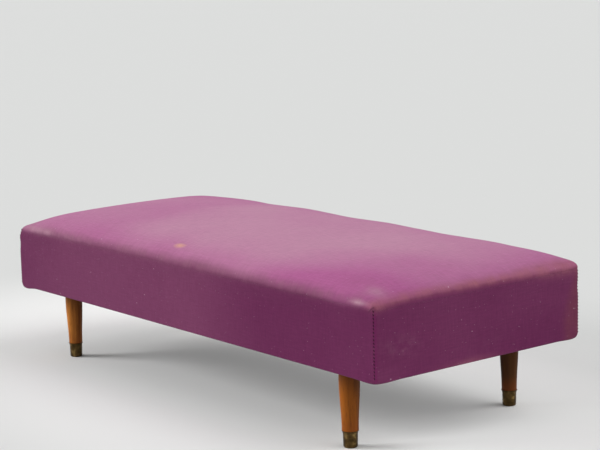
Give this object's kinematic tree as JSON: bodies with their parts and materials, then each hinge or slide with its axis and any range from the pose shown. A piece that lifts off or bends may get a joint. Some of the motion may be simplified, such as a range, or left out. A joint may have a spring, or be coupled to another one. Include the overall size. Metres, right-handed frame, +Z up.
{
  "type": "backless divan",
  "caption": "Long low upholstered bench-like divan with a crowned top, a cloth cover sewn up the corners, and turned tapered legs in brass ferrules.",
  "frame": {"origin": "on the floor, below the middle of the divan", "axes": "+X along the length, +Y across the width towards the back, +Z up"},
  "size_m": [1.8996, 0.7996, 0.5233],
  "materials": {
    "cover_cloth": "plain-woven wool in faded plum violet, worn pale along the edges",
    "seam_thread": "dark plum linen thread",
    "dust_cloth": "thin black cotton cambric",
    "hessian": "open plain-woven jute",
    "foam": "yellowed latex foam",
    "wadding": "loose white cotton wadding",
    "frame_pine": "planed pine, unfinished",
    "leg_wood": "turned hardwood, stained orange-brown and lacquered",
    "ferrule_brass": "brass with a dark olive-brown patina",
    "spring_steel": "drawn spring steel",
    "steel_fixings": "plain steel"
  },
  "bodies": {
    "root": {"side_rail_front": "frame_pine", "side_rail_back": "frame_pine", "end_rail_left": "frame_pine", "end_rail_right": "frame_pine", "leg_board_left": "frame_pine", "leg_board_right": "frame_pine", "middle_rail": "frame_pine", "corner_block_front_left": "frame_pine", "corner_block_front_right": "frame_pine", "corner_block_back_left": "frame_pine", "corner_block_back_right": "frame_pine", "frame_screws": "steel_fixings", "zigzag_spring_1": "spring_steel", "zigzag_spring_2": "spring_steel", "zigzag_spring_3": "spring_steel", "zigzag_spring_4": "spring_steel", "zigzag_spring_5": "spring_steel", "zigzag_spring_6": "spring_steel", "zigzag_spring_7": "spring_steel", "zigzag_spring_8": "spring_steel", "zigzag_spring_9": "spring_steel", "zigzag_spring_10": "spring_steel", "zigzag_spring_11": "spring_steel", "tie_wires": "spring_steel", "spring_clips": "spring_steel", "clip_nails": "steel_fixings", "hessian_sheet": "hessian", "hessian_tacks": "steel_fixings", "foam_pad": "foam", "cotton_wadding": "wadding", "fabric_cover": "cover_cloth", "corner_seam_front_left": "seam_thread", "corner_seam_front_right": "seam_thread", "corner_seam_back_left": "seam_thread", "corner_seam_back_right": "seam_thread", "hem_tacks": "steel_fixings", "dust_cover": "dust_cloth", "dust_cover_tacks": "steel_fixings", "leg_front_left": "leg_wood", "leg_front_right": "leg_wood", "leg_back_left": "leg_wood", "leg_back_right": "leg_wood", "ferrule_front_left": "ferrule_brass", "ferrule_front_right": "ferrule_brass", "ferrule_back_left": "ferrule_brass", "ferrule_back_right": "ferrule_brass", "hanger_bolt_front_left": "steel_fixings", "hanger_bolt_front_right": "steel_fixings", "hanger_bolt_back_left": "steel_fixings", "hanger_bolt_back_right": "steel_fixings", "tee_nut_front_left": "steel_fixings", "tee_nut_front_right": "steel_fixings", "tee_nut_back_left": "steel_fixings", "tee_nut_back_right": "steel_fixings"}
  },
  "joints": []
}
